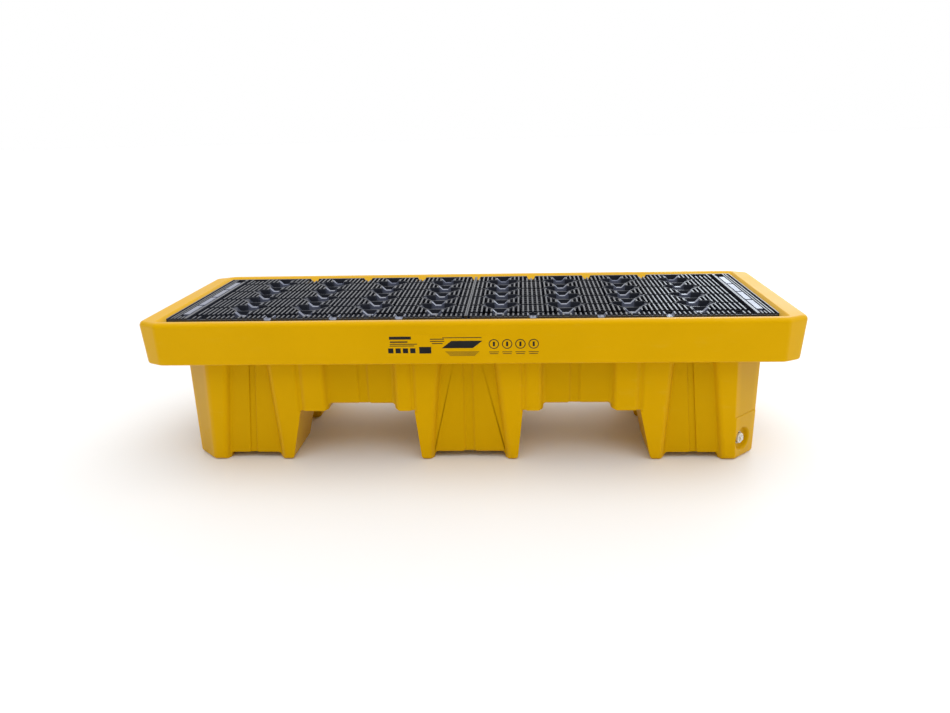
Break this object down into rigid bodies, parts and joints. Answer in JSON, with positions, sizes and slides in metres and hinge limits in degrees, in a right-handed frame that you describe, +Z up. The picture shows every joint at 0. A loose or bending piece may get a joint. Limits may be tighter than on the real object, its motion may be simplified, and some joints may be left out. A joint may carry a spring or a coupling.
{
  "type": "spill containment pallet",
  "caption": "Long low sump tub on corrugated hollow legs, with a turned-down lip, lift-out slatted deck gratings and a screw drain plug.",
  "frame": {"origin": "centre of the bounding box on the floor", "axes": "+X along the length towards the drain's end, +Y towards the rear, +Z up; the label and the drain face the front (-Y)"},
  "size_m": [1.9, 0.7, 0.45],
  "materials": {
    "tub_polyethylene": "rotationally moulded yellow polyethylene, satin, faint orange peel",
    "grating_plastic": "injection moulded black plastic, satin, worn lighter on the slat tops",
    "support_column": "moulded black plastic",
    "bushing_plastic": "natural polyethylene",
    "seal_rubber": "black rubber",
    "plug_plastic": "white moulded plastic",
    "label_film": "printed film in the tub's colour, with plain bars and simple shapes, no lettering"
  },
  "bodies": {
    "tub": {"sump_tub": "tub_polyethylene", "column_front_left": "support_column", "column_rear_left": "support_column", "column_front_right": "support_column", "column_rear_right": "support_column", "column_end_left": "support_column", "column_middle": "support_column", "column_end_right": "support_column", "drain_bushing": "bushing_plastic", "front_label": "label_film"},
    "left_deck": {"grating_left": "grating_plastic"},
    "right_deck": {"grating_right": "grating_plastic"},
    "seal": {"plug_seal": "seal_rubber"},
    "plug": {"drain_plug": "plug_plastic"}
  },
  "joints": [
    {"name": "grating_left_lift", "type": "slide", "parent": "tub", "child": "left_deck", "axis": [0, 0, 1], "range_m": [0, 0.15]},
    {"name": "grating_right_lift", "type": "slide", "parent": "tub", "child": "right_deck", "axis": [0, 0, 1], "range_m": [0, 0.15]},
    {"name": "plug_unscrew_travel", "type": "slide", "parent": "tub", "child": "seal", "axis": [0.7071, -0.7071, 0], "range_m": [0, 0.02177]},
    {"name": "plug_turn", "type": "hinge", "parent": "seal", "child": "plug", "pos_m": [0.812, -0.252, 0.058], "axis": [0.7071, -0.7071, 0], "range_deg": [0, 4320]}
  ],
  "couplings": [
    {"joint": "plug_unscrew_travel", "follows": "plug_turn", "m_per_rad": 0.00028871}
  ]
}
